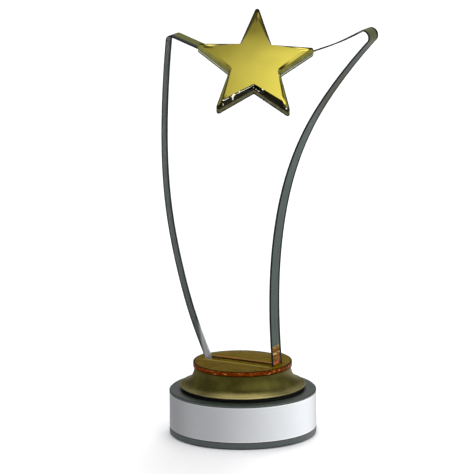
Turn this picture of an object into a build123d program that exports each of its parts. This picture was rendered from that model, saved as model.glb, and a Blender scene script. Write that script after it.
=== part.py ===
from build123d import *
import os
from math import cos, pi, radians, sin

# Star trophy: a clear glass blade with a V-shaped top stands in a slot of an amber disc,
# on a flared gold riser and a weighted black drum with a plain engraving band.
# A gold star is carried in front of the valley by a bracket that saddles the glass.
# Millimetres. The origin is the middle of the underside, +Z is up, the front is -Y.

# ---- driving dimensions ----
BASE_R = 45.0            # drum radius
DRUM_BOTTOM = 0.3        # the felt stands proud of the drum by this much
DRUM_TOP = 27.7
WALL = 4.0               # drum wall and top plate
BAND_LOW, BAND_HIGH = 4.2, 26.5
BAND_T = 0.8             # engraving band sheet
TAPE_T = 0.2             # adhesive tape behind the band
BAND_SEAM = 0.6          # butt gap of the band, at the back
FELT_T = 1.0
COVER_T = 1.2
COVER_R = 42.4
SPACER_TOP = 30.0        # top of the dark ring under the riser
SPACER_R = 36.4
RIM_R = 38.2             # riser rim
RIM_T = 0.9
NECK_R = 29.5            # riser neck
RISER_TOP = 41.9
RISER_T = 1.2            # riser sheet
CORE_R = 26.8            # block inside the riser
DISC_R = 30.3            # amber disc
DISC_TOP = 45.1
BLADE_T = 12.0           # glass thickness
FOOT_LOW = 36.0          # underside of the glass foot
FOOT_LEFT, FOOT_RIGHT = -23.2, 24.7
ARRIS = 0.8              # rounding of the polished edges of the glass
SLOT_GAP = 0.3           # clearance of the glass in its slots
ROD_R = 3.0              # M6 tie rod
ROD_TIP = 34.8
NUT_SEAT = 12.0          # ceiling of the nut pocket in the ballast
STAR_R, STAR_NOTCH_R = 38.0, 16.2
STAR_FACE_R, STAR_FACE_NOTCH_R = 29.8, 14.4
STAR_T = 10.9            # star thickness
STAR_BEVEL = 2.8         # depth of the bevel round the front face
STAR_WALL = 1.6
STAR_BACK_T = 2.0        # plate that closes the star's back
STAR_TIP_FILLET = 1.0
STAR_CENTRE = (31.0, -37.0, 241.4)   # middle of the star's front face
STAR_TURN, STAR_TILT, STAR_LEAN = 29.5, 35.0, 2.7   # degrees
SADDLE_R = 8.0
SADDLE_RISE = 1.5        # saddle axis above the valley's corner
SADDLE_CHEEK = 3.5       # thickness of each cheek beside the glass
LINER_T = 0.5
POST_R = 3.6
PAD_R, PAD_T = 9.0, 2.5


# ---- helpers ----
def tube(r_out, r_in, low, high):
    """A ring about Z between two heights; r_in 0 makes a full disc."""
    ring = Cylinder(r_out, high - low, align=(Align.CENTER, Align.CENTER, Align.MIN))
    if r_in > 0:
        ring -= Cylinder(r_in, high - low, align=(Align.CENTER, Align.CENTER, Align.MIN))
    return Pos(0, 0, low) * ring


def foot_box(gap, low, high):
    """The space of the glass foot, grown by a gap on every side."""
    width = FOOT_RIGHT - FOOT_LEFT + 2 * gap
    middle = (FOOT_RIGHT + FOOT_LEFT) / 2
    box = Box(width, BLADE_T + 2 * gap, high - low, align=(Align.CENTER, Align.CENTER, Align.MIN))
    return Pos(middle, 0, low) * box


def countersunk_screw(shank_r, length, head_r, head_h):
    """A screw along -Z with its flat head's top at Z = 0 and a cross-shaped recess."""
    head = Pos(0, 0, -head_h / 2) * Cone(shank_r, head_r, head_h)
    shank = Pos(0, 0, -length / 2) * Cylinder(shank_r, length)
    recess = Box(head_r, head_r / 4, head_h) + Box(head_r / 4, head_r, head_h)
    return head + shank - recess


def pan_screw(shank_r, length, head_r, head_h):
    """A screw along -Z whose domed head sits on Z = 0."""
    head = Pos(0, 0, head_h / 2) * Cylinder(head_r, head_h)
    head = fillet(head.edges().group_by(Axis.Z)[-1], head_h * 0.45)
    recess = Pos(0, 0, head_h) * (Box(head_r, head_r / 4, head_h) + Box(head_r / 4, head_r, head_h))
    return head + Pos(0, 0, -length / 2) * Cylinder(shank_r, length) - recess


def at(places, shape):
    """Copies of a shape at several places."""
    return [place * shape for place in places]


def save(name, shape, colour):
    """Write one node."""
    shape.label = name
    shape.color = Color(*colour)
    export_step(shape, f"parts/{name}.step")


# ---- base ----
COVER_TOP = FELT_T + COVER_T
BALLAST_TOP = DRUM_TOP - WALL
BALLAST_R = BASE_R - WALL - BAND_T - TAPE_T - 0.4
COVER_SCREWS = PolarLocations(30, 3, start_angle=90).locations
PIN_PLACES = PolarLocations(19, 2).locations
PIN_R, PIN_LOW, PIN_HIGH = 1.5, DRUM_TOP - WALL, DRUM_TOP + 4.0


def felt_pad():
    return tube(COVER_R - 0.4, 0, 0, FELT_T)


def bottom_cover():
    cover = tube(COVER_R, 0, FELT_T, COVER_TOP)
    countersink = Pos(0, 0, FELT_T + COVER_T / 2) * Cone(3.0, 1.5, COVER_T)
    return cover - at(COVER_SCREWS, countersink)


def bottom_cover_screws():
    flipped = Pos(0, 0, FELT_T) * Rot(180, 0, 0) * countersunk_screw(1.5, 9.0, 3.0, COVER_T)
    return Compound(children=at(COVER_SCREWS, flipped))


def ballast_weight():
    slug = tube(BALLAST_R, ROD_R + 0.4, COVER_TOP, BALLAST_TOP)
    slug -= tube(13.0, 0, COVER_TOP, NUT_SEAT)
    slug -= at(COVER_SCREWS, tube(1.5, 0, COVER_TOP, FELT_T + 9.0))
    return chamfer(slug.edges().filter_by(GeomType.CIRCLE).sort_by(SortBy.RADIUS)[-2:], 0.6)


def base_drum():
    drum = tube(BASE_R, BALLAST_R + 0.3, DRUM_BOTTOM, BALLAST_TOP) + tube(BASE_R, 0, BALLAST_TOP, DRUM_TOP)
    rims = drum.edges().filter_by(GeomType.CIRCLE).filter_by(lambda e: abs(e.radius - BASE_R) < 0.01)
    drum = chamfer(rims.group_by(Axis.Z)[-1], 0.5)
    outer = drum.edges().filter_by(GeomType.CIRCLE).filter_by(lambda e: abs(e.radius - BASE_R) < 0.01)
    drum = chamfer(outer.group_by(Axis.Z)[0], 0.6)
    drum -= tube(BASE_R + 1, BASE_R - BAND_T - TAPE_T, BAND_LOW, BAND_HIGH)
    drum -= tube(COVER_R + 0.2, 0, 0, COVER_TOP)
    drum -= tube(ROD_R + 0.4, 0, BALLAST_TOP, DRUM_TOP)
    return drum - at(PIN_PLACES, tube(PIN_R, 0, PIN_LOW, DRUM_TOP))


def engraving_band():
    seam = Pos(0, BASE_R, 0) * Box(BAND_SEAM, 8, 200)
    band = tube(BASE_R - 0.05, BASE_R - BAND_T, BAND_LOW + 0.1, BAND_HIGH - 0.1)
    outer = band.edges().filter_by(GeomType.CIRCLE).filter_by(lambda e: e.radius > BASE_R - 0.1)
    return chamfer(outer, 0.25) - seam


def band_tape():
    seam = Pos(0, BASE_R, 0) * Box(4 * BAND_SEAM, 8, 200)
    inner = BASE_R - BAND_T - TAPE_T
    return tube(BASE_R - BAND_T, inner, BAND_LOW + 1.5, BAND_HIGH - 1.5) - seam


def tie_rod():
    rod = tube(ROD_R, 0, NUT_SEAT - 8.6, ROD_TIP)
    return chamfer(rod.edges().filter_by(GeomType.CIRCLE), 0.5)


def tie_rod_washer():
    return tube(9.0, ROD_R + 0.2, NUT_SEAT - 1.6, NUT_SEAT)


def tie_rod_nut():
    nut = extrude(RegularPolygon(5.77, 6), 5.0) - Cylinder(ROD_R, 20)
    nut &= Pos(0, 0, 2.5) * (Cylinder(5.6, 5.2) + Cylinder(5.9, 4.2))
    return Pos(0, 0, NUT_SEAT - 1.6 - 5.0) * nut


def locating_pins():
    return Compound(children=at(PIN_PLACES, tube(PIN_R, 0, PIN_LOW, PIN_HIGH)))


# ---- riser and disc ----
def riser_spacer():
    return tube(SPACER_R, CORE_R + 0.2, DRUM_TOP, SPACER_TOP)


def flare(offset):
    """The concave flare of the riser, moved inwards by an offset."""
    return Spline(
        (NECK_R - offset, RISER_TOP - offset),
        (RIM_R - offset * 0.4, SPACER_TOP + RIM_T - offset * 0.9),
        tangents=[(0.06, -1), (1, -0.12)],
        tangent_scalars=[1.25, 1.15],
    )


def riser():
    rim_top = SPACER_TOP + RIM_T
    outer = flare(0)
    profile = make_face([
        outer,
        ThreePointArc((RIM_R, rim_top), (RIM_R + 0.2, rim_top - RIM_T / 2), (RIM_R, SPACER_TOP)),
        Line((RIM_R, SPACER_TOP), (0, SPACER_TOP)),
        Line((0, SPACER_TOP), (0, RISER_TOP)),
        Line((0, RISER_TOP), (NECK_R, RISER_TOP)),
    ])
    solid = revolve(Plane.XZ * profile, Axis.Z)
    hollow_low = SPACER_TOP + RISER_T
    inner = Spline((NECK_R - RISER_T, RISER_TOP - RISER_T), (RIM_R - 4.5, hollow_low),
                   tangents=[(0.06, -1), (1, -0.3)], tangent_scalars=[1.2, 1.0])
    hollow = make_face([
        inner,
        Line((RIM_R - 4.5, hollow_low), (0, hollow_low)),
        Line((0, hollow_low), (0, RISER_TOP - RISER_T)),
        Line((0, RISER_TOP - RISER_T), (NECK_R - RISER_T, RISER_TOP - RISER_T)),
    ])
    solid -= revolve(Plane.XZ * hollow, Axis.Z)
    solid -= tube(CORE_R + 0.2, 0, SPACER_TOP, hollow_low)
    return solid - foot_box(SLOT_GAP + 0.3, RISER_TOP - RISER_T, RISER_TOP)


def riser_core():
    core = tube(CORE_R, 0, DRUM_TOP, RISER_TOP - RISER_T)
    core = chamfer(core.edges().filter_by(GeomType.CIRCLE).group_by(Axis.Z)[-1], 0.8)
    core -= foot_box(SLOT_GAP, FOOT_LOW - SLOT_GAP, RISER_TOP)
    core -= tube(ROD_R, 0, DRUM_TOP, ROD_TIP)
    return core - at(PIN_PLACES, tube(PIN_R, 0, DRUM_TOP, PIN_HIGH))


def blade_bed():
    bed = foot_box(SLOT_GAP, FOOT_LOW - SLOT_GAP, RISER_TOP - RISER_T)
    return bed - foot_box(0, FOOT_LOW, RISER_TOP)


def amber_disc():
    disc = tube(DISC_R, 0, RISER_TOP, DISC_TOP)
    disc = chamfer(disc.edges().filter_by(GeomType.CIRCLE), 0.25)
    return disc - foot_box(SLOT_GAP, RISER_TOP, DISC_TOP)


# ---- blade ----
LEFT_CORNER, RIGHT_CORNER = (-48.6, 245.7), (91.2, 253.3)
VALLEY = (11.5, 227.6)
HORN_TOP = (86.7, 260.6)
CORNER_FILLET, VALLEY_FILLET = 3.2, 5.0
SEAT_REACH = 20.0


def blade_outline():
    """The glass plate's outline in the XZ plane, with the left and right edges as splines."""
    left = Spline(LEFT_CORNER, (-51.5, 214), (-52.8, 176), (-49.9, 134), (-43.1, 100.7), (-32.9, 67.8),
                  (FOOT_LEFT, DISC_TOP), tangents=[(-0.12, -1), (0.45, -1)])
    right = Spline((FOOT_RIGHT, DISC_TOP), (23.1, 80), (26.6, 130), (34.5, 164), (50.7, 200.4),
                   (68.4, 226.3), RIGHT_CORNER, tangents=[(-0.08, 1), (0.68, 0.735)])
    horn = TangentArc(RIGHT_CORNER, HORN_TOP, tangent=(0.68, 0.735))
    top_right = Spline(HORN_TOP, (69.1, 251.3), (50.5, 243.7), VALLEY,
                       tangents=[(-0.876, -0.482), (-0.925, -0.38)])
    foot = Polyline((FOOT_LEFT, DISC_TOP), (FOOT_LEFT, FOOT_LOW), (FOOT_RIGHT, FOOT_LOW), (FOOT_RIGHT, DISC_TOP))
    face = make_face([left, foot, right, horn, top_right, Line(VALLEY, LEFT_CORNER)])
    corner = face.vertices().sort_by_distance(LEFT_CORNER)[0]
    face = fillet(corner, CORNER_FILLET)
    valley = face.vertices().sort_by_distance(VALLEY)[0]
    return fillet(valley, VALLEY_FILLET)


def plate():
    return extrude(Plane.XZ * blade_outline(), BLADE_T / 2, both=True)


def valley_seat():
    """The glass beside the valley with the liner round it, as one solid."""
    middle = Vector(VALLEY[0], VALLEY[1] + 1.1 * LINER_T)
    left = (Vector(*LEFT_CORNER) - Vector(*VALLEY)).normalized() * SEAT_REACH
    right = Vector(0.925, 0.38) * SEAT_REACH
    low = Vector(0, -2 * SEAT_REACH)
    face = make_face(Polyline(middle + left, middle, middle + right, middle + right + low,
                              middle + left + low, close=True))
    face = fillet(face.vertices().sort_by_distance(middle)[0], VALLEY_FILLET - LINER_T)
    return extrude(Plane.XZ * face, BLADE_T / 2 + LINER_T, both=True)


def blade():
    glass = plate()
    return fillet(glass.faces().filter_by(Axis.Y).edges(), ARRIS)


# ---- star ----
def star_plane():
    """The plane of the star's front face: turned, tilted back and leaning a little."""
    turn, tilt, lean = radians(STAR_TURN), radians(STAR_TILT), radians(STAR_LEAN)
    normal = Vector(sin(turn) * cos(tilt), -cos(turn) * cos(tilt), sin(tilt))
    side = Vector(cos(turn), sin(turn), 0)
    up = normal.cross(side)
    return Plane(origin=STAR_CENTRE, x_dir=side * cos(lean) - up * sin(lean), z_dir=normal)


def star_points(tip_r, notch_r):
    """The ten corners of a five-pointed star, with one tip straight up."""
    turns = [(pi / 2 + k * pi / 5, tip_r if k % 2 == 0 else notch_r) for k in range(10)]
    return [(r * cos(a), r * sin(a)) for a, r in turns]


def star_face(tip_r, notch_r):
    return make_face(Polyline(*star_points(tip_r, notch_r), close=True))


STAR_EDGE = ((STAR_R - STAR_NOTCH_R * cos(pi / 5)) ** 2 + (STAR_NOTCH_R * sin(pi / 5)) ** 2) ** 0.5
STAR_FLAT_R = STAR_R * STAR_NOTCH_R * sin(pi / 5) / STAR_EDGE   # middle to any side, at right angles


def star_inset(amount):
    """A star with every side moved inwards by the same amount."""
    scale = (STAR_FLAT_R - amount) / STAR_FLAT_R
    return star_face(STAR_R * scale, STAR_NOTCH_R * scale)


STAR_BOSS_R, STAR_BOSS_AT = 2.4, 17.5
STAR_BOSSES = [Rot(0, 0, 144 * k) * Pos(0, STAR_BOSS_AT, 0) for k in (0, 1, 4)]
BRACKET_SCREW_AT = 6.6


def star_shell():
    front = star_face(STAR_FACE_R, STAR_FACE_NOTCH_R)
    bevel = loft([Pos(0, 0, -STAR_BEVEL) * star_face(STAR_R, STAR_NOTCH_R), front], ruled=True)
    body = Pos(0, 0, -STAR_T) * extrude(star_face(STAR_R, STAR_NOTCH_R), STAR_T - STAR_BEVEL)
    star = bevel + body
    tip_trim = extrude(Pos(0, 0, -STAR_T) * fillet(
        star_face(STAR_R, STAR_NOTCH_R).vertices().group_by(lambda v: round(abs(Vector(v)), 2))[-1],
        STAR_TIP_FILLET), STAR_T)
    star &= tip_trim
    hollow_top = -STAR_BEVEL - STAR_WALL
    star -= Pos(0, 0, -STAR_T) * extrude(star_inset(STAR_WALL), STAR_T + hollow_top)
    for boss in STAR_BOSSES:
        column = Pos(0, 0, -STAR_T + STAR_BACK_T) * Cylinder(
            STAR_BOSS_R, STAR_T - STAR_BACK_T + hollow_top, align=(Align.CENTER, Align.CENTER, Align.MIN))
        bore = Pos(0, 0, -STAR_T) * Cylinder(1.25, 5.5, align=(Align.CENTER, Align.CENTER, Align.MIN))
        star = star + boss * column - boss * bore
    return star_plane() * star


def star_back_plate():
    back = Pos(0, 0, -STAR_T) * extrude(star_inset(STAR_WALL + 0.1), STAR_BACK_T)
    for boss in STAR_BOSSES:
        back -= boss * Pos(0, 0, -STAR_T) * Rot(180, 0, 0) * countersink_space()
    for side in (-1, 1):
        back -= Pos(side * BRACKET_SCREW_AT, 0, -STAR_T) * Cylinder(1.5, 20)
    return star_plane() * back


def countersink_space():
    return Pos(0, 0, -0.75) * Cone(1.25, 2.5, 1.5) + Pos(0, 0, -5) * Cylinder(1.25, 10)


def star_back_screws():
    screw = Rot(180, 0, 0) * countersunk_screw(1.25, 5.0, 2.5, 1.5)
    return Compound(children=[star_plane() * boss * Pos(0, 0, -STAR_T) * screw for boss in STAR_BOSSES])


# ---- bracket ----
def saddle_barrel(length, radius=SADDLE_R):
    centre = Pos(VALLEY[0], 0, VALLEY[1] + SADDLE_RISE)
    return centre * Rot(90, 0, 0) * Cylinder(radius, length)


SADDLE_LENGTH = BLADE_T + 2 * LINER_T + 2 * SADDLE_CHEEK
SET_SCREWS = [(VALLEY[0] - 3.3, VALLEY[1] - 1.5), (VALLEY[0] + 3.3, VALLEY[1] - 1.5)]


def set_screw_space(length, radius=2.0):
    """One hole or screw shank per set screw, starting at the rear face of the liner."""
    back = BLADE_T / 2 + LINER_T
    return [Pos(x, back + length / 2, z) * Rot(90, 0, 0) * Cylinder(radius, length) for x, z in SET_SCREWS]


def star_bracket():
    barrel = saddle_barrel(SADDLE_LENGTH)
    barrel = fillet(barrel.edges().filter_by(GeomType.CIRCLE), 1.0)
    pad = star_plane() * Pos(0, 0, -STAR_T - PAD_T / 2) * Cylinder(PAD_R, PAD_T)
    pad_back = (star_plane() * Pos(0, 0, -STAR_T - PAD_T / 2)).position
    root = Vector(VALLEY[0], -BLADE_T / 2 - LINER_T - 0.5, VALLEY[1] + 4.0)
    post = Solid.make_cone(POST_R + 1.2, POST_R, (pad_back - root).length, Plane(root, z_dir=pad_back - root))
    bracket = barrel + post
    bracket -= valley_seat()
    bracket += pad
    bracket -= star_plane() * Pos(0, 0, -STAR_T) * Box(
        4 * PAD_R, 4 * PAD_R, STAR_T, align=(Align.CENTER, Align.CENTER, Align.MIN))
    for side in (-1, 1):
        bracket -= star_plane() * Pos(side * BRACKET_SCREW_AT, 0, -STAR_T) * Cylinder(1.5, 2 * PAD_T)
    for space in set_screw_space(SADDLE_CHEEK):
        bracket -= space
    return bracket


def saddle_liner():
    return (valley_seat() & saddle_barrel(SADDLE_LENGTH, SADDLE_R - 0.6)) - plate()


def saddle_set_screws():
    socket = [Pos(x, SADDLE_LENGTH / 2, z) * Rot(90, 0, 0) * extrude(RegularPolygon(1.15, 6), 1.5, both=True)
              for x, z in SET_SCREWS]
    return Compound(children=[s - h for s, h in zip(set_screw_space(SADDLE_CHEEK - 0.3), socket)])


def bracket_screws():
    screw = Rot(180, 0, 0) * pan_screw(1.5, PAD_T + STAR_BACK_T + 1.5, 2.6, 1.8)
    places = [star_plane() * Pos(side * BRACKET_SCREW_AT, 0, -STAR_T - PAD_T) for side in (-1, 1)]
    return Compound(children=[place * screw for place in places])


BLACK, DARK, IRON = (0.13, 0.14, 0.13), (0.05, 0.05, 0.05), (0.3, 0.3, 0.31)
STEEL, SILVER, GOLD = (0.7, 0.7, 0.72), (0.8, 0.8, 0.82), (0.75, 0.65, 0.2)
BRONZE, AMBER, GLASS = (0.42, 0.36, 0.12), (0.7, 0.3, 0.05), (0.75, 0.85, 0.82)
os.makedirs("parts", exist_ok=True)

save("felt_pad", felt_pad(), (0.05, 0.12, 0.07))
save("bottom_cover", bottom_cover(), STEEL)
save("bottom_cover_screws", bottom_cover_screws(), STEEL)
save("ballast_weight", ballast_weight(), IRON)
save("base_drum", base_drum(), BLACK)
save("band_tape", band_tape(), (0.85, 0.85, 0.8))
save("engraving_band", engraving_band(), SILVER)
save("tie_rod", tie_rod(), STEEL)
save("tie_rod_washer", tie_rod_washer(), STEEL)
save("tie_rod_nut", tie_rod_nut(), STEEL)
save("locating_pins", locating_pins(), STEEL)
save("riser_spacer", riser_spacer(), DARK)
save("riser", riser(), BRONZE)
save("riser_core", riser_core(), DARK)
save("blade_bed", blade_bed(), (0.9, 0.9, 0.85))
save("amber_disc", amber_disc(), AMBER)
save("blade", blade(), GLASS)
save("star_shell", star_shell(), GOLD)
save("star_back_plate", star_back_plate(), GOLD)
save("star_back_screws", star_back_screws(), STEEL)
save("star_bracket", star_bracket(), GOLD)
save("bracket_screws", bracket_screws(), STEEL)
save("saddle_liner", saddle_liner(), (0.9, 0.9, 0.9))
save("saddle_set_screws", saddle_set_screws(), STEEL)
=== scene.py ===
"""Looks for the star trophy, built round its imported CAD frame. Metres, +Z up, the front is -Y."""
from math import cos, pi, radians, sin

import bmesh
import bpy
from mathutils import Matrix, Vector


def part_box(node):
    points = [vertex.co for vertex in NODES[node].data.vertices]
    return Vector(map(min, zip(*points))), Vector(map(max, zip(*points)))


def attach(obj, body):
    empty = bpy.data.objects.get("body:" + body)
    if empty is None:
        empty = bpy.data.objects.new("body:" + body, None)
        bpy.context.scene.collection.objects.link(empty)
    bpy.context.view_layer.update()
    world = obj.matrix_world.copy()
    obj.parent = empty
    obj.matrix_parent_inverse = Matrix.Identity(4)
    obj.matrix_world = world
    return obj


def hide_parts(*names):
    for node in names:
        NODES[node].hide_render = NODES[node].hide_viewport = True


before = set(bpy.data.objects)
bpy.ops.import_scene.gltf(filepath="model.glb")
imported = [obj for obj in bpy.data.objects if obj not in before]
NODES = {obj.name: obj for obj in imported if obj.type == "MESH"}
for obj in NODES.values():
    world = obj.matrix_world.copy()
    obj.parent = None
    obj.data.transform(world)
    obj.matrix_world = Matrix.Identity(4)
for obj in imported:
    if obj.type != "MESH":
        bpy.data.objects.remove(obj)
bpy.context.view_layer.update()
scene = bpy.context.scene
MM = 0.001


# ---- node helpers ----
class Graph:
    """Adds and links the nodes of one material or world."""

    def __init__(self, tree):
        self.tree = tree

    def put(self, socket, value):
        if isinstance(value, bpy.types.NodeSocket):
            self.tree.links.new(value, socket)
        else:
            socket.default_value = value

    def add(self, kind, inputs=None, **settings):
        node = self.tree.nodes.new(kind)
        for name, value in settings.items():
            setattr(node, name, value)
        for name, value in (inputs or {}).items():
            self.put(node.inputs[name], value)
        return node

    def maths(self, operation, a, b=0.0):
        return self.add("ShaderNodeMath", {0: a, 1: b}, operation=operation).outputs[0]

    def both(self, a, b):
        """The part of a surface that two masks share."""
        return self.maths("MULTIPLY", a, b)

    def step(self, value, low, high, to_low=0.0, to_high=1.0):
        """A smooth step of a value between two levels."""
        node = self.add("ShaderNodeMapRange", {
            "Value": value, "From Min": low, "From Max": high, "To Min": to_low, "To Max": to_high,
        }, interpolation_type="SMOOTHSTEP")
        return node.outputs[0]

    def mix(self, factor, a, b):
        """A mix of two colours."""
        node = self.add("ShaderNodeMix", data_type="RGBA")
        for index, value in ((0, factor), (6, a), (7, b)):
            self.put(node.inputs[index], value)
        return node.outputs[2]

    def coords(self, scale=(1.0, 1.0, 1.0)):
        """Object coordinates in metres, stretched."""
        place = self.add("ShaderNodeTexCoord").outputs["Object"]
        return self.add("ShaderNodeMapping", {"Vector": place, "Scale": scale}).outputs[0]

    def axis(self, name):
        place = self.add("ShaderNodeTexCoord").outputs["Object"]
        return self.add("ShaderNodeSeparateXYZ", {0: place}).outputs[name]

    def facing_up(self):
        """The Z part of the surface normal: 1 faces up, 0 is upright."""
        normal = self.add("ShaderNodeNewGeometry").outputs["Normal"]
        return self.add("ShaderNodeSeparateXYZ", {0: normal}).outputs["Z"]

    def around(self):
        """Cylinder coordinates about Z: (angle, height, radius) in radians and metres."""
        place = self.add("ShaderNodeTexCoord").outputs["Object"]
        xyz = self.add("ShaderNodeSeparateXYZ", {0: place}).outputs
        angle = self.maths("ARCTAN2", xyz["Y"], xyz["X"])
        radius = self.maths("SQRT", self.maths("ADD", self.maths("MULTIPLY", xyz["X"], xyz["X"]),
                                               self.maths("MULTIPLY", xyz["Y"], xyz["Y"])))
        return angle, xyz["Z"], radius

    def vector(self, x, y, z):
        return self.add("ShaderNodeCombineXYZ", {0: x, 1: y, 2: z}).outputs[0]

    def noise(self, vector, scale, detail=2.0, rough=0.5):
        node = self.add("ShaderNodeTexNoise", {
            "Vector": vector, "Scale": scale, "Detail": detail, "Roughness": rough,
        })
        return node.outputs[0]

    def bump(self, height, depth, normal=None):
        """A bump whose height runs 0..1 for depth metres, on top of another one if given."""
        inputs = {"Height": height, "Distance": depth, "Strength": 1.0}
        if normal is not None:
            inputs["Normal"] = normal
        return self.add("ShaderNodeBump", inputs).outputs[0]


def rgb(r, g, b):
    """A linear colour, opaque."""
    return (r, g, b, 1.0)


WHITE = rgb(1.0, 1.0, 1.0)


def new_material(name):
    """A material with one Principled shader, its graph and that shader's sockets."""
    made = bpy.data.materials.new(name)
    made.use_nodes = True
    graph = Graph(made.node_tree)
    shader = made.node_tree.nodes["Principled BSDF"]
    return made, graph, shader.inputs


# ---- camera ----
AIM_POINT = Vector((0.0, 0.0, 0.133875))
CAM_TURN, CAM_RISE, CAM_ROLL = radians(29.5), radians(13.141), radians(0.442)
CAM_AWAY = 4.878                        # metres from the aim point
CAM_LENS, CAM_SENSOR = 607.6, 36.0      # millimetres
CAM_CLIP = 100.0                        # metres
CAM_SIDE, CAM_DOWN = -0.00274, -0.01094  # metres off the aim point, across and up the view


def make_camera():
    """A long lens from the front right, rolled slightly."""
    ahead = Vector((-sin(CAM_TURN) * cos(CAM_RISE), cos(CAM_TURN) * cos(CAM_RISE), -sin(CAM_RISE)))
    level = Vector((cos(CAM_TURN), sin(CAM_TURN), 0.0))
    upward = level.cross(ahead)
    right = level * cos(CAM_ROLL) - upward * sin(CAM_ROLL)
    up = level * sin(CAM_ROLL) + upward * cos(CAM_ROLL)
    place = AIM_POINT + right * CAM_SIDE + up * CAM_DOWN - ahead * CAM_AWAY
    data = bpy.data.cameras.new("camera")
    data.lens, data.sensor_width, data.clip_end = CAM_LENS, CAM_SENSOR, CAM_CLIP
    camera = bpy.data.objects.new("camera", data)
    camera.matrix_world = Matrix((
        (right.x, up.x, -ahead.x, place.x),
        (right.y, up.y, -ahead.y, place.y),
        (right.z, up.z, -ahead.z, place.z),
        (0.0, 0.0, 0.0, 1.0),
    ))
    scene.collection.objects.link(camera)
    scene.camera = camera


# ---- studio ----
def heading(turn, rise):
    """A unit vector towards an azimuth and elevation in degrees; azimuth 0 is -Y, 90 is +X."""
    a, e = radians(turn), radians(rise)
    return Vector((sin(a) * cos(e), -cos(a) * cos(e), sin(e)))


HORIZON_DARK = 0.10                   # what mirrors see above the table, away from the lights
TABLE_DARK = 0.015                    # and below it
WALL_DIM, WALL_BRIGHT = 0.375, 1.225  # white sweep seen below eye level, brightest round to the right
WALL_SHADED = 0.35                    # how far the sweep dims behind on the left
SOFT_BOX, BACK_BOX = 1.75, 1.25       # large soft box front right, smaller one behind
SMALL_LAMP = 2.0
# small lamps that glint in the star: azimuth, elevation and width
SMALL_LAMPS = ((-46.0, -40.0, 4.0), (97.0, -46.0, 4.0), (88.0, -41.0, 3.0))


def make_world():
    """Even white light, and for mirror rays a dark room with soft boxes and a white sweep."""
    world = bpy.data.worlds.new("studio")
    scene.world = world
    world.use_nodes = True
    g = Graph(world.node_tree)
    way = g.add("ShaderNodeTexCoord").outputs["Generated"]
    rise = g.maths("ARCSINE", g.add("ShaderNodeSeparateXYZ", {0: way}).outputs["Z"])
    rise = g.maths("MULTIPLY", rise, 180.0 / pi)

    def away_from(turn, tilt):
        """The angle in degrees between the ray and a direction."""
        facing = g.add("ShaderNodeVectorMath", {0: way, 1: heading(turn, tilt)}, operation="DOT_PRODUCT")
        return g.maths("MULTIPLY", g.maths("ARCCOSINE", facing.outputs["Value"]), 180.0 / pi)

    sweep = g.add("ShaderNodeMapRange", {
        "Value": away_from(150.0, 0.0), "From Min": 178.0, "From Max": 8.0,
        "To Min": WALL_DIM, "To Max": WALL_BRIGHT}).outputs[0]
    sweep = g.maths("MULTIPLY", sweep, g.step(away_from(-118.0, -10.0), 95.0, 10.0, 1.0, WALL_SHADED))
    below = g.both(g.step(rise, -42.5, -33.0), g.step(rise, 4.0, -3.0))
    total = g.maths("MULTIPLY", sweep, below)
    total = g.maths("ADD", total, g.step(rise, -6.0, 4.0, TABLE_DARK, HORIZON_DARK))
    front = g.maths("MULTIPLY", g.step(away_from(82.0, 36.0), 68.0, 12.0, 0.0, SOFT_BOX),
                    g.both(g.step(rise, 74.0, 54.0), g.step(rise, 2.0, 22.0)))
    total = g.maths("ADD", total, front)
    total = g.maths("ADD", total, g.step(away_from(-154.0, 43.0), 30.0, 8.0, 0.0, BACK_BOX))
    for turn, tilt, wide in SMALL_LAMPS:
        total = g.maths("ADD", total, g.step(away_from(turn, tilt), wide, wide * 0.5, 0.0, SMALL_LAMP))
    path = g.add("ShaderNodeLightPath").outputs
    mirrored = g.step(path["Glossy Depth"], 0.4, 0.6)
    studio = g.vector(total, total, total)
    back = world.node_tree.nodes["Background"]
    g.put(back.inputs["Color"], g.mix(mirrored, WHITE, studio))
    back.inputs["Strength"].default_value = 1.0


def make_lights():
    """Two square lamps that mirrors don't see: azimuth, elevation, distance and size, then watts."""
    for name, turn, rise, away, size, power in (
        ("key", 195.0, 58.0, 1.6, 0.6, 9.0),
        ("fill", 50.0, 50.0, 1.8, 1.1, 4.0),
    ):
        data = bpy.data.lights.new(name, "AREA")
        data.shape, data.size, data.energy = "SQUARE", size, power
        lamp = bpy.data.objects.new(name, data)
        towards = heading(turn, rise)
        lamp.location = AIM_POINT + towards * away
        lamp.rotation_euler = towards.to_track_quat("Z", "Y").to_euler()
        lamp.visible_camera = lamp.visible_glossy = lamp.visible_transmission = False
        scene.collection.objects.link(lamp)


def make_floor():
    """Plain pale paper, just under the trophy."""
    half, low = 5.0, -0.1 * MM
    mesh = bpy.data.meshes.new("floor")
    mesh.from_pydata([(-half, -half, low), (half, -half, low), (half, half, low), (-half, half, low)],
                     [], [(0, 1, 2, 3)])
    floor = bpy.data.objects.new("floor", mesh)
    made, graph, sockets = new_material("floor_paper")
    grain = graph.noise(graph.coords(), 900.0, 3.0)
    graph.put(sockets["Base Color"], graph.mix(grain, rgb(0.90, 0.90, 0.91), rgb(0.93, 0.93, 0.94)))
    graph.put(sockets["Roughness"], 1.0)
    sockets["Specular IOR Level"].default_value = 0.0
    mesh.materials.append(made)
    scene.collection.objects.link(floor)
    floor.visible_glossy = False


# ---- materials ----
RIM_R, DISC_R = 38.2, 30.3  # radii of the riser's rim and the amber disc, in millimetres
PLATE_HALF = 6.0            # half the blade's thickness
GLASS_IOR, ACRYLIC_IOR = 1.5, 1.49


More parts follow.
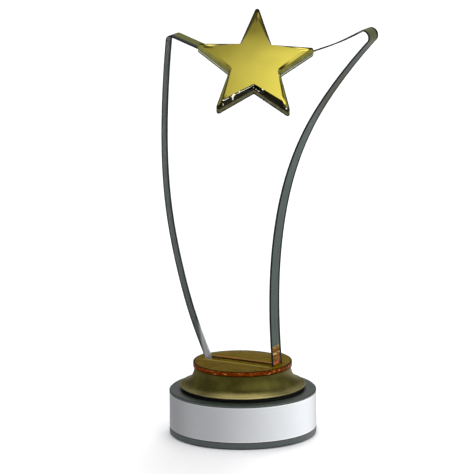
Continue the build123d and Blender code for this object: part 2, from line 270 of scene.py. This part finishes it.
def felt():
    """Short, dense green fibre."""
    made, g, s = new_material("felt_fibre")
    fibre = g.noise(g.coords((1.0, 1.0, 0.4)), 2600.0, 4.0, 0.7)
    g.put(s["Base Color"], g.mix(fibre, rgb(0.012, 0.020, 0.016), rgb(0.045, 0.060, 0.052)))
    s["Roughness"].default_value = 1.0
    s["Sheen Weight"].default_value = 0.4
    g.put(s["Normal"], g.bump(fibre, 0.25 * MM))
    return made


def steel(name, dark, light, rough):
    """Rolled or turned metal with fine lines along X."""
    made, g, s = new_material(name)
    cloud = g.noise(g.coords(), 120.0, 3.0)
    line = g.noise(g.coords((0.06, 1.0, 1.0)), 1500.0, 2.0)
    g.put(s["Base Color"], g.mix(cloud, dark, light))
    s["Metallic"].default_value = 1.0
    g.put(s["Roughness"], g.step(line, 0.2, 0.8, rough - 0.07, rough + 0.09))
    g.put(s["Normal"], g.bump(line, 0.004 * MM))
    return made


def cast_iron():
    """A raw, rough casting."""
    made, g, s = new_material("cast_iron_grain")
    grain = g.noise(g.coords(), 1100.0, 5.0, 0.65)
    g.put(s["Base Color"], g.mix(grain, rgb(0.025, 0.024, 0.023), rgb(0.085, 0.080, 0.075)))
    s["Metallic"].default_value = 0.6
    g.put(s["Roughness"], g.step(grain, 0.3, 0.7, 0.55, 0.8))
    g.put(s["Normal"], g.bump(grain, 0.12 * MM))
    return made


def black_drum():
    """Satin black lacquer with a fine orange peel and a few light specks of dust."""
    made, g, s = new_material("satin_black")
    peel = g.noise(g.coords(), 1400.0, 3.0, 0.6)
    cloud = g.noise(g.coords(), 60.0, 3.0)
    speck = g.step(g.noise(g.coords(), 2300.0, 1.0), 0.66, 0.74)
    base = g.mix(cloud, rgb(0.022, 0.030, 0.024), rgb(0.038, 0.049, 0.040))
    # painted light: the upright sides lighter and bluer than the top
    base = g.mix(g.step(g.facing_up(), 0.6, 0.2), base, rgb(0.060, 0.073, 0.073))
    base = g.mix(g.maths("MULTIPLY", speck, 0.4), base, rgb(0.22, 0.25, 0.23))
    # painted shadow: a near-black ring on the top under the riser's rim
    _, _, radius = g.around()
    painted_rim_shadow = g.step(radius, (RIM_R + 0.7) * MM, RIM_R * MM)
    g.put(s["Base Color"], g.mix(painted_rim_shadow, base, rgb(0.002, 0.002, 0.002)))
    g.put(s["Roughness"], g.step(peel, 0.2, 0.8, 0.34, 0.48))
    s["Specular IOR Level"].default_value = 0.5
    g.put(s["Normal"], g.bump(peel, 0.012 * MM))
    return made


def silver_band():
    """Satin silver sheet, brushed round the drum, with painted highlight lines along both edges, which are
    smoother too.
    """
    made, g, s = new_material("satin_silver")
    angle, height, _ = g.around()
    brushed = g.noise(g.vector(g.maths("MULTIPLY", angle, 0.9), g.maths("MULTIPLY", height, 5200.0), 0.0),
                      1.0, 3.0, 0.7)
    cloud = g.noise(g.coords(), 38.0, 3.0)
    low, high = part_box("engraving_band")[0].z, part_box("engraving_band")[1].z
    # painted highlight: white lines along the band's top and bottom edges
    edge_highlight = g.maths("MAXIMUM", g.step(height, high - 0.9 * MM, high - 0.5 * MM),
                   g.step(height, low + 0.9 * MM, low + 0.5 * MM))
    base = g.mix(brushed, rgb(0.78, 0.80, 0.83), rgb(0.88, 0.90, 0.93))
    g.put(s["Base Color"], g.mix(edge_highlight, base, WHITE))
    s["Metallic"].default_value = 1.0
    rough = g.maths("ADD", g.step(brushed, 0.25, 0.75, 0.27, 0.37), g.step(cloud, 0.3, 0.7, -0.02, 0.03))
    g.put(s["Roughness"], g.maths("ADD", rough, g.maths("MULTIPLY", edge_highlight, -0.12)))
    g.put(s["Normal"], g.bump(brushed, 0.003 * MM))
    return made


def plastic(name, dark, light, rough):
    """Moulded plastic with a fine even texture."""
    made, g, s = new_material(name)
    grain = g.noise(g.coords(), 1700.0, 3.0)
    g.put(s["Base Color"], g.mix(grain, dark, light))
    g.put(s["Roughness"], g.step(grain, 0.3, 0.7, rough - 0.06, rough + 0.06))
    g.put(s["Normal"], g.bump(grain, 0.01 * MM))
    return made


def riser_gold():
    """Spun antique gold: fine turned rings under a dark patina, with a painted highlight towards the rim."""
    made, g, s = new_material("antique_gold")
    angle, height, radius = g.around()
    turned = g.noise(g.vector(g.maths("MULTIPLY", angle, 0.5), g.maths("MULTIPLY", height, 2600.0),
                              g.maths("MULTIPLY", radius, 2600.0)), 1.0, 3.0, 0.6)
    patina = g.noise(g.coords(), 85.0, 4.0, 0.62)
    ragged = g.maths("ADD", radius, g.maths("MULTIPLY", g.maths("SUBTRACT", patina, 0.5), 2.4 * MM))
    # painted highlight near the rim, brightest in one place, 30 degrees round to the right of the front
    aside = g.maths("ABSOLUTE", g.maths("ADD", angle, radians(60.0)))
    highlight_patch = g.maths("MULTIPLY", g.step(aside, radians(46.0), 0.0), 1.25)
    rim_highlight = g.maths("MULTIPLY", g.step(ragged, 32.6 * MM, 36.6 * MM), g.maths("ADD", 0.08, highlight_patch))
    # a painted highlight along the rim's outer edge
    rim = g.step(radius, (RIM_R - 0.2) * MM, RIM_R * MM)
    dark = g.mix(g.step(patina, 0.35, 0.7), rgb(0.050, 0.044, 0.008), rgb(0.086, 0.077, 0.015))
    base = g.mix(rim_highlight, dark, rgb(0.54, 0.46, 0.175))
    g.put(s["Base Color"], g.mix(g.maths("MULTIPLY", rim, 0.25), base, rgb(0.50, 0.45, 0.26)))
    s["Metallic"].default_value = 0.35
    s["Specular IOR Level"].default_value = 0.3
    s["Specular Tint"].default_value = rgb(1.0, 0.80, 0.26)
    g.put(s["Roughness"], g.maths("ADD", g.step(turned, 0.25, 0.75, 0.24, 0.34),
                                  g.step(patina, 0.3, 0.75, 0.0, 0.08)))
    g.put(s["Normal"], g.bump(turned, 0.006 * MM))
    return made


def star_gold(name, rough, deep, bright):
    """Plated gold: faint waviness of the polish, small roughness clouds, fine hairlines."""
    made, g, s = new_material(name)
    wave = g.noise(g.coords(), 46.0, 1.0)
    cloud = g.noise(g.coords(), 120.0, 3.0)
    hair = g.noise(g.coords((1.0, 1.0, 0.08)), 3800.0, 2.0, 0.6)
    g.put(s["Base Color"], g.mix(cloud, deep, bright))
    s["Metallic"].default_value = 1.0
    g.put(s["Roughness"], g.maths("ADD", g.step(cloud, 0.3, 0.7, rough - 0.03, rough + 0.03),
                                  g.step(hair, 0.4, 0.8, 0.0, 0.05)))
    g.put(s["Normal"], g.bump(wave, 0.25 * MM, g.bump(hair, 0.0015 * MM)))
    return made


def star_wall(name, deep, bright):
    """Dull gold in lit and shaded tones, for the star's side walls, edge lines and duller bevels: painted
    shade, and painted light on the pale walls.
    """
    made, g, s = new_material(name)
    cloud = g.noise(g.coords(), 160.0, 3.0)
    draw = g.noise(g.coords((1.0, 1.0, 0.15)), 2600.0, 2.0, 0.6)
    g.put(s["Base Color"], g.mix(g.step(cloud, 0.3, 0.7), deep, bright))
    s["Metallic"].default_value = 0.15
    s["Specular IOR Level"].default_value = 0.1
    g.put(s["Roughness"], g.step(draw, 0.3, 0.7, 0.35, 0.5))
    g.put(s["Normal"], g.bump(draw, 0.004 * MM))
    return made


def star_painted_shade(name, low):
    """Near-black metal, painted shade in the star's lower notch, with painted glints: white where a noise
    passes the level low.
    """
    made, g, s = new_material(name)
    fleck = g.noise(g.coords(), 330.0)
    glint = g.step(fleck, low, low + 0.06)
    g.put(s["Base Color"], g.mix(glint, rgb(0.012, 0.011, 0.003), rgb(0.95, 0.93, 0.80)))
    g.put(s["Metallic"], g.step(glint, 0.2, 0.8, 0.8, 0.0))
    g.put(s["Roughness"], g.step(fleck, 0.3, 0.7, 0.12, 0.2))
    return made


def amber():
    """Tinted acrylic over gold: deep orange at its polished edge, olive gold on top."""
    made, g, s = new_material("amber_acrylic")
    x, y, z = g.axis("X"), g.axis("Y"), g.axis("Z")
    _, _, radius = g.around()
    low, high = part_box("amber_disc")[0].z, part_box("amber_disc")[1].z
    lift = g.maths("ABSOLUTE", g.facing_up())
    top = g.step(lift, 0.8, 0.9)
    outside = g.step(radius, (DISC_R - 4.3) * MM, (DISC_R - 2.3) * MM)
    # the outer edge: orange with painted highlight flecks, and painted shade at its foot and along its
    # chamfers
    fleck = g.noise(g.coords((1.0, 1.0, 3.5)), 330.0, 3.0, 0.6)
    edge = g.mix(g.step(fleck, 0.4, 0.6), rgb(0.080, 0.010, 0.0004), rgb(0.165, 0.034, 0.002))
    edge = g.mix(g.step(fleck, 0.60, 0.68), edge, rgb(0.72, 0.30, 0.10))
    edge = g.mix(g.step(z, low + 0.9 * MM, low + 0.4 * MM), edge, rgb(0.012, 0.004, 0.0003))
    # the slot's walls: bright, as painted light carried in the acrylic, with a painted shade line along
    # their top
    slot = g.mix(fleck, rgb(0.34, 0.22, 0.015), rgb(0.62, 0.43, 0.06))
    slot = g.mix(g.step(z, high - 1.2 * MM, high - 0.7 * MM), slot, rgb(0.060, 0.022, 0.001))
    side = g.mix(outside, slot, edge)
    # painted shade on the outer chamfers
    side = g.mix(g.both(g.step(lift, 0.3, 0.6), outside), side, rgb(0.014, 0.008, 0.001))
    # the top, with painted shade round its rim, and painted lines of light on both sides of the slot
    drift = g.noise(g.coords(), 75.0, 2.0)
    face = g.mix(g.step(drift, 0.3, 0.7), rgb(0.118, 0.075, 0.0012), rgb(0.146, 0.096, 0.0026))
    face = g.mix(g.step(radius, (DISC_R - 1.5) * MM, (DISC_R - 0.6) * MM), face, rgb(0.020, 0.012, 0.001))
    within = g.step(g.maths("ABSOLUTE", x), 24.0 * MM, 22.5 * MM)
    start, full = (PLATE_HALF + 0.2) * MM, (PLATE_HALF + 0.5) * MM
    behind = g.both(g.step(y, start, full), g.step(y, 9.6 * MM, 8.2 * MM))
    face = g.mix(g.both(behind, within), face, rgb(0.27, 0.125, 0.022))
    ahead = g.both(g.step(y, -start, -full), g.step(y, -10.4 * MM, -8.4 * MM))
    face = g.mix(g.both(ahead, within), face, rgb(0.285, 0.195, 0.026))
    g.put(s["Base Color"], g.mix(top, side, face))
    g.put(s["Roughness"], g.step(drift, 0.3, 0.7, 0.24, 0.34))
    s["IOR"].default_value = ACRYLIC_IOR
    s["Specular IOR Level"].default_value = 0.02
    s["Specular Tint"].default_value = rgb(1.0, 0.50, 0.08)
    g.put(s["Normal"], g.bump(fleck, 0.002 * MM))
    return made


def clear(name, tint, rough):
    """Clear glass, rubber or bond, with faint smears."""
    made, g, s = new_material(name)
    smear = g.noise(g.coords(), 45.0, 3.0)
    g.put(s["Base Color"], tint)
    g.put(s["Roughness"], g.step(smear, 0.4, 0.75, rough, rough + 0.004))
    s["IOR"].default_value = GLASS_IOR
    s["Transmission Weight"].default_value = 1.0
    return made


# painted reflection bands up the flare of the blade's right edge: where each fades in, and its two tones
FLARE_BANDS = (
    (200.0, 216.0, rgb(0.036, 0.039, 0.019), rgb(0.058, 0.062, 0.031)),  # olive
    (232.0, 238.0, rgb(0.034, 0.040, 0.042), rgb(0.056, 0.064, 0.068)),  # slate
    (246.0, 252.0, rgb(0.070, 0.075, 0.036), rgb(0.104, 0.110, 0.058)),  # olive
)
# wavy lines of painted light in the right foot: height, half width and tone
FOOT_LINES = (
    (58.4, 0.7, rgb(0.30, 0.24, 0.045)),
    (54.3, 0.9, rgb(0.50, 0.38, 0.13)),
    (48.6, 1.0, rgb(0.48, 0.11, 0.04)),
)


def glass_edge():
    """The polished edge of the plate: grey-green, with painted shade along its arrises, and warm with
    painted light at the amber foot.
    """
    made, g, s = new_material("glass_edge")
    x, y, z = g.axis("X"), g.axis("Y"), g.axis("Z")
    right, left = g.step(x, -1.0 * MM, 1.0 * MM), g.step(x, 1.0 * MM, -1.0 * MM)
    # painted shade lines along both arrises, wider in front on the left, and behind on the right's flare
    front_line = g.step(g.maths("ADD", y, g.maths("MULTIPLY", left, -2.5 * MM)), -4.9 * MM, -5.3 * MM)
    on_flare = g.both(g.step(z, 190.0 * MM, 215.0 * MM), g.step(z, 252.0 * MM, 246.0 * MM))
    inset = g.maths("ADD", g.maths("MULTIPLY", on_flare, 1.5 * MM), 1.9 * MM)
    back_line = g.step(g.maths("ADD", y, g.maths("MULTIPLY", right, inset)), 5.1 * MM, 5.4 * MM)
    arris = g.maths("MAXIMUM", front_line, back_line)
    # grey-green on the right; bluer and paler on the left, and paler still low down, as painted light
    streak = g.noise(g.coords((1.0, 6.0, 0.25)), 300.0, 3.0, 0.6)
    base = g.mix(g.step(streak, 0.3, 0.7), rgb(0.055, 0.072, 0.063), rgb(0.092, 0.118, 0.104))
    base = g.mix(left, base, g.mix(streak, rgb(0.128, 0.150, 0.154), rgb(0.180, 0.208, 0.214)))
    base = g.mix(g.both(left, g.step(z, 150.0 * MM, 75.0 * MM)), base, rgb(0.185, 0.215, 0.222))
    for low, high, deep, pale in FLARE_BANDS:
        flare = g.both(right, g.step(z, low * MM, high * MM))
        base = g.mix(flare, base, g.mix(streak, deep, pale))
    # amber light carried up from the disc on the right
    blotch = g.noise(g.coords((1.0, 1.0, 1.6)), 420.0, 3.0, 0.6)
    warm = g.mix(g.step(blotch, 0.42, 0.62), rgb(0.115, 0.030, 0.002), rgb(0.26, 0.130, 0.010))
    base = g.mix(g.both(right, g.step(z, 57.6 * MM, 55.6 * MM)), base, warm)
    wavy = g.maths("ADD", z, g.maths("MULTIPLY", blotch, 3.0 * MM))
    for level, wide, tone in FOOT_LINES:
        far = g.maths("ABSOLUTE", g.maths("SUBTRACT", wavy, level * MM))
        line = g.both(g.step(far, wide * MM, 0.3 * wide * MM), g.step(blotch, 0.40, 0.55))
        base = g.mix(g.both(right, line), base, tone)
    # gold light from the star along the top edge
    level = g.step(g.facing_up(), 0.3, 0.8)
    near_star = g.both(g.step(x, -48.5 * MM, -45.0 * MM), g.step(x, 62.0 * MM, 36.0 * MM))
    base = g.mix(g.both(level, near_star), base, rgb(0.085, 0.088, 0.014))
    base = g.mix(arris, base, rgb(0.010, 0.014, 0.014))
    # a white glint that narrows up the left foot
    taper = g.maths("SUBTRACT", y, g.maths("MULTIPLY", g.maths("SUBTRACT", z, 53.0 * MM), 0.62))
    glint = g.both(g.step(taper, -3.5 * MM, 2.0 * MM), left)
    g.put(s["Base Color"], g.mix(glint, base, rgb(0.96, 0.98, 1.0)))
    g.put(s["Transmission Weight"], g.maths("MULTIPLY", glint, 0.15))
    g.put(s["Roughness"], g.step(streak, 0.3, 0.7, 0.14, 0.24))
    s["IOR"].default_value = GLASS_IOR
    s["Specular IOR Level"].default_value = 0.03
    g.put(s["Normal"], g.bump(streak, 0.006 * MM))
    return made


def dress_frame():
    """Gives every CAD node that stays its own finish."""
    gold_screw = steel("gold_screw_finish", rgb(0.45, 0.34, 0.08), rgb(0.55, 0.43, 0.12), 0.26)
    bright_screw = steel("bright_screw", rgb(0.48, 0.49, 0.50), rgb(0.60, 0.61, 0.62), 0.25)
    finishes = {
        "felt_pad": felt(),
        "bottom_cover": steel("zinc_sheet", rgb(0.40, 0.42, 0.44), rgb(0.52, 0.54, 0.55), 0.36),
        "bottom_cover_screws": bright_screw,
        "ballast_weight": cast_iron(),
        "base_drum": black_drum(),
        "band_tape": plastic("foam_tape", rgb(0.55, 0.55, 0.52), rgb(0.68, 0.68, 0.64), 0.8),
        "engraving_band": silver_band(),
        "riser_spacer": plastic("black_ring", rgb(0.001, 0.001, 0.001), rgb(0.003, 0.003, 0.003), 0.9),
        "riser": riser_gold(),
        "riser_core": plastic("moulded_black", rgb(0.012, 0.012, 0.012), rgb(0.022, 0.022, 0.022), 0.45),
        "blade_bed": clear("cured_bond", rgb(0.95, 0.93, 0.86), 0.12),
        "amber_disc": amber(),
        "star_back_plate": star_gold("satin_gold_plate", 0.30, rgb(0.45, 0.36, 0.06), rgb(0.52, 0.43, 0.09)),
        "star_bracket": star_gold("bracket_plating", 0.22, rgb(0.48, 0.39, 0.07), rgb(0.56, 0.46, 0.10)),
        "saddle_liner": clear("clear_rubber", rgb(0.90, 0.92, 0.90), 0.15),
    }
    for name in ("tie_rod", "tie_rod_washer", "tie_rod_nut", "locating_pins"):
        finishes[name] = bright_screw
    for name in ("star_back_screws", "bracket_screws", "saddle_set_screws"):
        finishes[name] = gold_screw
    for name, finish in finishes.items():
        for slot in NODES[name].material_slots:
            slot.material = finish


def make_blade():
    """The clear plate: the CAD's own shape, with glass faces and separate edge faces."""
    mesh = NODES["blade"].data.copy()
    mesh.materials.clear()
    mesh.materials.append(clear("clear_plate", WHITE, 0.0))
    mesh.materials.append(glass_edge())
    for face in mesh.polygons:
        front_or_back = abs(face.normal.y) > 0.995
        face.material_index = 0 if front_or_back else 1
    blade = bpy.data.objects.new("blade_glass", mesh)
    scene.collection.objects.link(blade)
    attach(blade, "root")
    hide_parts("blade")


# star dimensions in millimetres, as in the CAD: outside, front face, then thicknesses
STAR_R, STAR_NOTCH_R = 38.0, 16.2
FACE_R, FACE_NOTCH_R = 29.8, 14.4
STAR_T, STAR_BEVEL, STAR_WALL = 10.9, 2.8, 1.6
STAR_FLAT_R = 13.54  # from the middle to the line of a side
# softer than the CAD: a domed face, rounded tips that reach as far, and broken edges
STAR_DOME = 1.4
TIP_ROUND, TIP_GROWTH, NOTCH_ROUND = 1.4, 1.3, 0.6
FACE_TIP_ROUND, FACE_TIP_GROWTH, FACE_NOTCH_ROUND = 0.6, 0.6, 0.8
BACK_BREAK, FRONT_BREAK = 0.3, 0.35
WALL_STEPS = (0.0, 2.0, 3.9, 5.1)  # heights up a side wall where its finish can change
WALL_TOP_STEP = 1.0
BEVEL_DROP = STAR_BEVEL - 0.05
BEVEL_STEPS, FACE_STEPS = 12, 10
ARC_STEPS, SIDE_STEPS = 5, 9  # round a corner and along a straight side

# The star's finishes, by ring. Rings count from the first of the bevel, and the walls are below 0.
# apart from GOLD and GLINT, these finishes are painted shade and light on one plating: dark edge lines,
# shaded walls, black and olive bevels are painted shade, pale walls painted light
GOLD, SHADE_LINE, SHADED, PALE_LIT, BLACK_SHADE, OLIVE_SHADE, GLINT = range(7)
BACK_EDGE = -7  # the first ring outside the back
TOP_SIDE = ((BACK_EDGE, SHADE_LINE), (-5, SHADED), (-1, SHADE_LINE), (4, GOLD))
UNDER_ARM = ((BACK_EDGE, SHADE_LINE), (-5, PALE_LIT), (-4, SHADE_LINE), (-3, OLIVE_SHADE), (5, GOLD))
LEG = ((BACK_EDGE, SHADE_LINE), (-5, SHADED), (-1, SHADE_LINE), (2, OLIVE_SHADE), (6, GOLD))
NOTCH = ((BACK_EDGE, SHADE_LINE), (-5, SHADED), (-2, SHADE_LINE), (1, BLACK_SHADE), (BEVEL_STEPS - 1, GOLD))
# the ten sides, from the top tip round to the left
SIDES = (TOP_SIDE, TOP_SIDE, UNDER_ARM, LEG, NOTCH, NOTCH, LEG, UNDER_ARM, TOP_SIDE, TOP_SIDE)
GLINT_SIDE, GLINT_RING = 4, 8


def star_outline(tip_r, notch_r, tip_round, notch_round):
    """A five-pointed star with rounded corners, as 2-D points, tip up, always the same count."""
    corners = [Vector((r * cos(pi / 2 + k * pi / 5), r * sin(pi / 2 + k * pi / 5)))
               for k, r in ((k, tip_r if k % 2 == 0 else notch_r) for k in range(10))]
    arcs = []
    for k, corner in enumerate(corners):
        before, after = corners[k - 1] - corner, corners[(k + 1) % 10] - corner
        before.normalize()
        after.normalize()
        half = before.angle(after) / 2
        bend = tip_round if k % 2 == 0 else notch_round
        middle = corner + (before + after).normalized() * (bend / sin(half))
        start = corner + before * (bend * cos(half) / sin(half)) - middle
        end = corner + after * (bend * cos(half) / sin(half)) - middle
        turn = start.angle_signed(end)
        arcs.append([middle + Matrix.Rotation(-turn * i / ARC_STEPS, 2) @ start
                     for i in range(ARC_STEPS + 1)])
    points = []
    for k, arc in enumerate(arcs):
        following = arcs[(k + 1) % 10][0]
        points += arc
        points += [arc[-1].lerp(following, i / SIDE_STEPS) for i in range(1, SIDE_STEPS)]
    return points


def star_place():
    """The star's axes from the CAD: across, up and out of its front face, and the face's middle."""
    mesh = NODES["star_shell"].data
    largest = max(mesh.polygons, key=lambda face: face.area)
    out, level = largest.normal.copy(), largest.normal.dot(mesh.vertices[largest.vertices[0]].co)
    flat = [v.co for v in mesh.vertices if abs(out.dot(v.co) - level) < 1e-6]
    corners = []
    for point in flat:
        if all((point - other).length > 1e-5 for other in corners):
            corners.append(point.copy())
    middle = sum(corners, Vector()) / len(corners)
    tip = max(corners, key=lambda point: point.z)
    up = (tip - middle).normalized()
    return up.cross(out).normalized(), up, out, middle


def star_side(k, count):
    """Which of the ten sides a step of the outline is on; a side starts midway round its corner."""
    steps = count // len(SIDES)
    return (k - ARC_STEPS // 2) // steps % len(SIDES)


def star_finish(ring, side):
    """The finish of one side of one ring of the star."""
    if side == GLINT_SIDE and ring == GLINT_RING:
        return GLINT
    found = GOLD
    for first, finish in SIDES[side]:
        if ring >= first:
            found = finish
    return found


def make_star():
    """The hollow plated star: a slightly domed face, a bevel and thin side walls."""
    outer = star_outline(STAR_R + TIP_GROWTH, STAR_NOTCH_R, TIP_ROUND, NOTCH_ROUND)
    inner = star_outline(FACE_R + FACE_TIP_GROWTH, FACE_NOTCH_R, FACE_TIP_ROUND, FACE_NOTCH_ROUND)
    wall_scale = (STAR_FLAT_R - STAR_WALL) / STAR_FLAT_R
    edge_scale = (STAR_FLAT_R - BACK_BREAK) / STAR_FLAT_R

    def dome(point):
        return STAR_DOME * max(0.0, 1 - (point.length / FACE_R) ** 2)

    ceiling = -STAR_BEVEL - STAR_WALL
    rings = [[(p * wall_scale, ceiling) for p in outer], [(p * wall_scale, -STAR_T) for p in outer],
             [(p * edge_scale, -STAR_T) for p in outer]]
    low, high = -STAR_T + BACK_BREAK, -STAR_BEVEL - FRONT_BREAK
    depths = [low + step for step in WALL_STEPS] + [high - WALL_TOP_STEP, high]
    rings += [[(p, depth) for p in outer] for depth in depths]
    first_bevel = len(rings)
    for i in range(1, BEVEL_STEPS + 1):
        share = i / BEVEL_STEPS
        points = [p.lerp(q, share) for p, q in zip(outer, inner)]
        rings.append([(point, dome(point) * share ** 2 - BEVEL_DROP * (1 - share)) for point in points])
    for i in range(1, FACE_STEPS):
        share = 1 - i / FACE_STEPS
        rings.append([(q * share, dome(q * share)) for q in inner])
    across, up, out, middle = star_place()

    def place(point, depth):
        return middle + (across * point.x + up * point.y + out * depth) * MM

    made = bmesh.new()
    loops = [[made.verts.new(place(p, depth)) for p, depth in ring] for ring in rings]
    count = len(outer)
    for ring, (lower, upper) in enumerate(zip(loops, loops[1:])):
        for k in range(count):
            face = made.faces.new((lower[k], lower[(k + 1) % count], upper[(k + 1) % count], upper[k]))
            face.material_index = star_finish(ring - first_bevel, star_side(k, count))
    for loop, depth in ((loops[0], ceiling), (loops[-1], STAR_DOME)):
        hub = made.verts.new(place(Vector((0.0, 0.0)), depth))
        for k in range(count):
            made.faces.new((loop[k], loop[(k + 1) % count], hub))
    bmesh.ops.recalc_face_normals(made, faces=made.faces)
    mesh = bpy.data.meshes.new("star_plated")
    made.to_mesh(mesh)
    made.free()
    for face in mesh.polygons:
        face.use_smooth = True
    mesh.set_sharp_from_angle(angle=radians(30))
    for finish in (
        star_gold("polished_gold_plate", 0.09, rgb(0.62, 0.545, 0.075), rgb(0.70, 0.575, 0.098)),
        # painted shade and painted light: darker and paler tones of the same plating, then painted glints
        star_wall("painted_shade_line", rgb(0.008, 0.007, 0.002), rgb(0.020, 0.018, 0.005)),
        star_wall("shaded_wall", rgb(0.060, 0.057, 0.010), rgb(0.110, 0.104, 0.022)),
        star_wall("painted_light_wall", rgb(0.40, 0.43, 0.24), rgb(0.55, 0.58, 0.37)),
        star_painted_shade("painted_shade_black", 0.61),
        star_wall("painted_shade_olive", rgb(0.165, 0.150, 0.024), rgb(0.235, 0.220, 0.045)),
        star_painted_shade("painted_shade_glints", 0.40),
    ):
        mesh.materials.append(finish)
    star = bpy.data.objects.new("star_plated", mesh)
    scene.collection.objects.link(star)
    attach(star, "root")
    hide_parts("star_shell")


make_camera()
make_world()
make_lights()
make_floor()
dress_frame()
make_blade()
make_star()
scene.view_settings.view_transform = "Standard"
